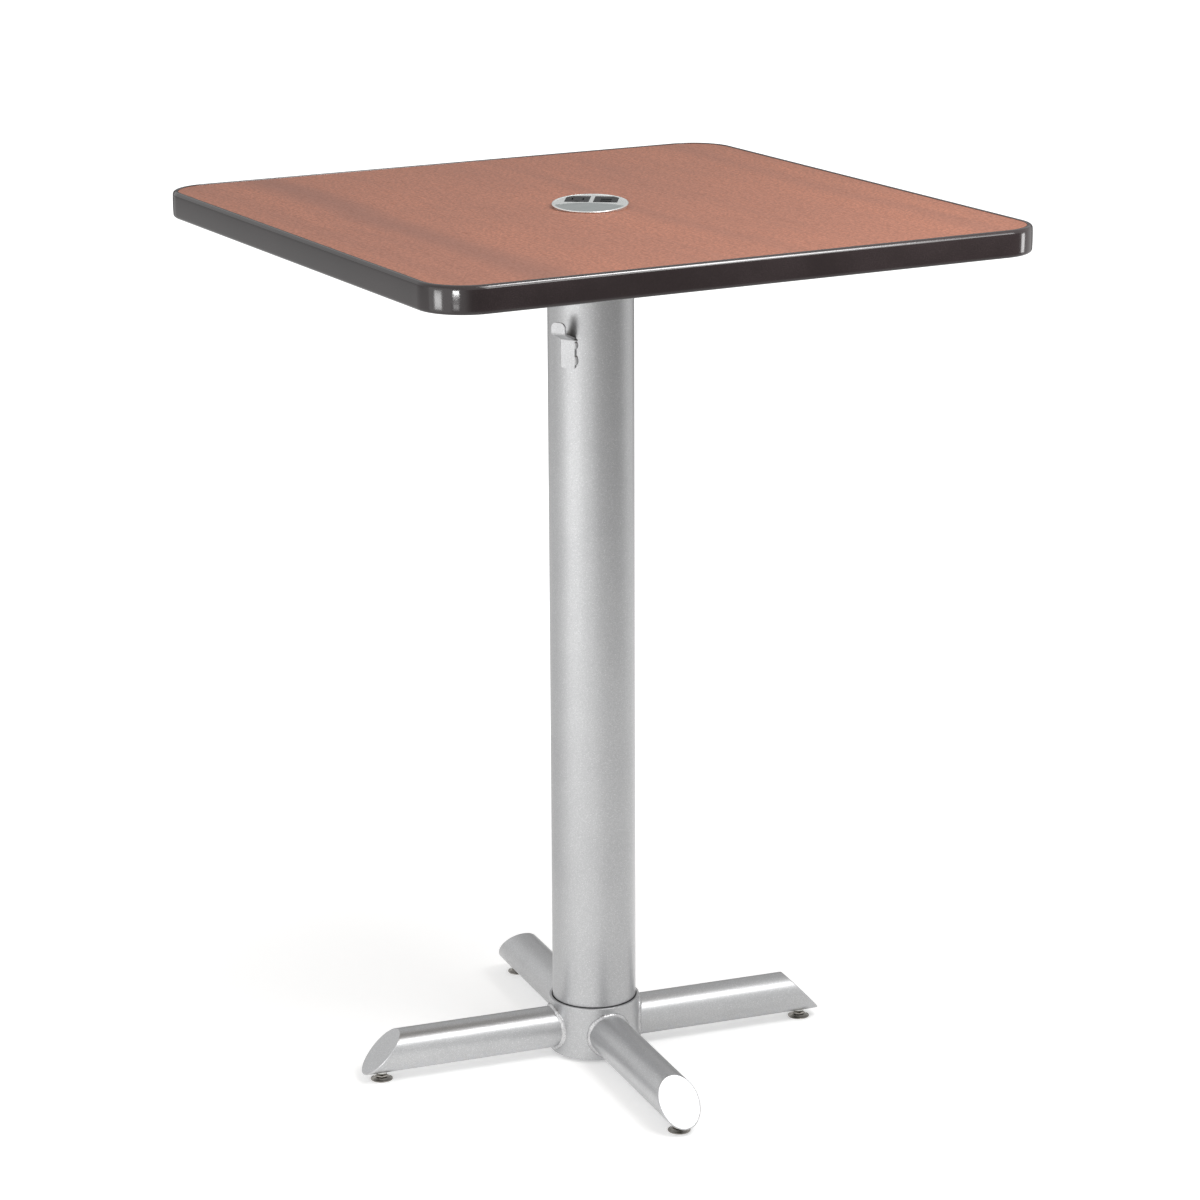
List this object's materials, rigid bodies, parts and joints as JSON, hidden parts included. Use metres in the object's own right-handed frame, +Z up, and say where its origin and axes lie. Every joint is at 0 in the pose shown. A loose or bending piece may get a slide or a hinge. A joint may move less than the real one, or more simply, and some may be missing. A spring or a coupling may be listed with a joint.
{
  "type": "cafe table",
  "caption": "Standing-height cafe table: square laminate top with dark edge band and power grommet, round steel column with bag hook, cross base on levelling glides.",
  "frame": {"origin": "on the floor under the column axis, at the bottom centre of the table's box", "axes": "+Z up along the column; X and Y parallel to the sides of the square top, the bag hook on the -X -Y side"},
  "size_m": [0.762, 0.762, 1.0494],
  "materials": {
    "cherry_laminate": "satin laminate with a fine cherry grain",
    "black_vinyl": "satin dark brown-black vinyl",
    "particleboard": "raw particleboard",
    "backer": "matt brown balancing sheet",
    "satin_zinc": "satin nickel over zinc casting",
    "grey_panel": "satin grey",
    "black_socket": "glossy black",
    "black_plastic": "moulded black",
    "black_steel": "black powder coat",
    "silver_paint": "silver metallic powder coat, fine grain",
    "weld_metal": "silver powder coat over a rippled bead",
    "zinc_steel": "bright zinc",
    "nickel_glide": "bright nickel"
  },
  "bodies": {
    "table": {"tabletop_core": "particleboard", "laminate_top": "cherry_laminate", "backer_sheet": "backer", "edge_band": "black_vinyl", "grommet_bezel": "satin_zinc", "grommet_front_panel": "grey_panel", "outlet_insert": "black_socket", "charger_insert": "black_socket", "grommet_cup": "black_plastic", "grommet_lock_ring": "black_plastic", "cable_gland": "black_plastic", "mounting_plate": "black_steel", "mounting_screws": "zinc_steel", "plate_weld": "silver_paint", "column_tube": "silver_paint", "column_foot_plate": "silver_paint", "base_collar": "silver_paint", "collar_floor": "silver_paint", "bolt_washer": "zinc_steel", "centre_bolt": "zinc_steel", "weld_nut": "zinc_steel", "leg_right": "silver_paint", "leg_back": "silver_paint", "leg_left": "silver_paint", "leg_front": "silver_paint", "leg_cap_right": "silver_paint", "leg_cap_back": "silver_paint", "leg_cap_left": "silver_paint", "leg_cap_front": "silver_paint", "leg_welds": "weld_metal", "glide_bushes": "zinc_steel", "bag_hook": "silver_paint", "hook_welds": "weld_metal"},
    "glide_foot_right": {"glide_foot_right": "nickel_glide"},
    "glide_stem_right": {"glide_stem_right": "nickel_glide"},
    "glide_foot_back": {"glide_foot_back": "nickel_glide"},
    "glide_stem_back": {"glide_stem_back": "nickel_glide"},
    "glide_foot_left": {"glide_foot_left": "nickel_glide"},
    "glide_stem_left": {"glide_stem_left": "nickel_glide"},
    "glide_foot_front": {"glide_foot_front": "nickel_glide"},
    "glide_stem_front": {"glide_stem_front": "nickel_glide"}
  },
  "joints": [
    {"name": "level_right", "type": "slide", "parent": "table", "child": "glide_foot_right", "axis": [0, 0, 1], "range_m": [-0.008, 0.002]},
    {"name": "turn_right", "type": "hinge", "parent": "glide_foot_right", "child": "glide_stem_right", "pos_m": [0.27215, -0.03583, 0], "axis": [0, 0, 1], "range_deg": [-2305, 577]},
    {"name": "level_back", "type": "slide", "parent": "table", "child": "glide_foot_back", "axis": [0, 0, 1], "range_m": [-0.008, 0.002]},
    {"name": "turn_back", "type": "hinge", "parent": "glide_foot_back", "child": "glide_stem_back", "pos_m": [0.03583, 0.27215, 0], "axis": [0, 0, 1], "range_deg": [-2305, 577]},
    {"name": "level_left", "type": "slide", "parent": "table", "child": "glide_foot_left", "axis": [0, 0, 1], "range_m": [-0.008, 0.002]},
    {"name": "turn_left", "type": "hinge", "parent": "glide_foot_left", "child": "glide_stem_left", "pos_m": [-0.27215, 0.03583, 0], "axis": [0, 0, 1], "range_deg": [-2305, 577]},
    {"name": "level_front", "type": "slide", "parent": "table", "child": "glide_foot_front", "axis": [0, 0, 1], "range_m": [-0.008, 0.002]},
    {"name": "turn_front", "type": "hinge", "parent": "glide_foot_front", "child": "glide_stem_front", "pos_m": [-0.03583, -0.27215, 0], "axis": [0, 0, 1], "range_deg": [-2305, 577]}
  ],
  "couplings": [
    {"joint": "turn_right", "follows": "level_right", "rad_per_m": 5026.5},
    {"joint": "turn_back", "follows": "level_back", "rad_per_m": 5026.5},
    {"joint": "turn_left", "follows": "level_left", "rad_per_m": 5026.5},
    {"joint": "turn_front", "follows": "level_front", "rad_per_m": 5026.5}
  ]
}
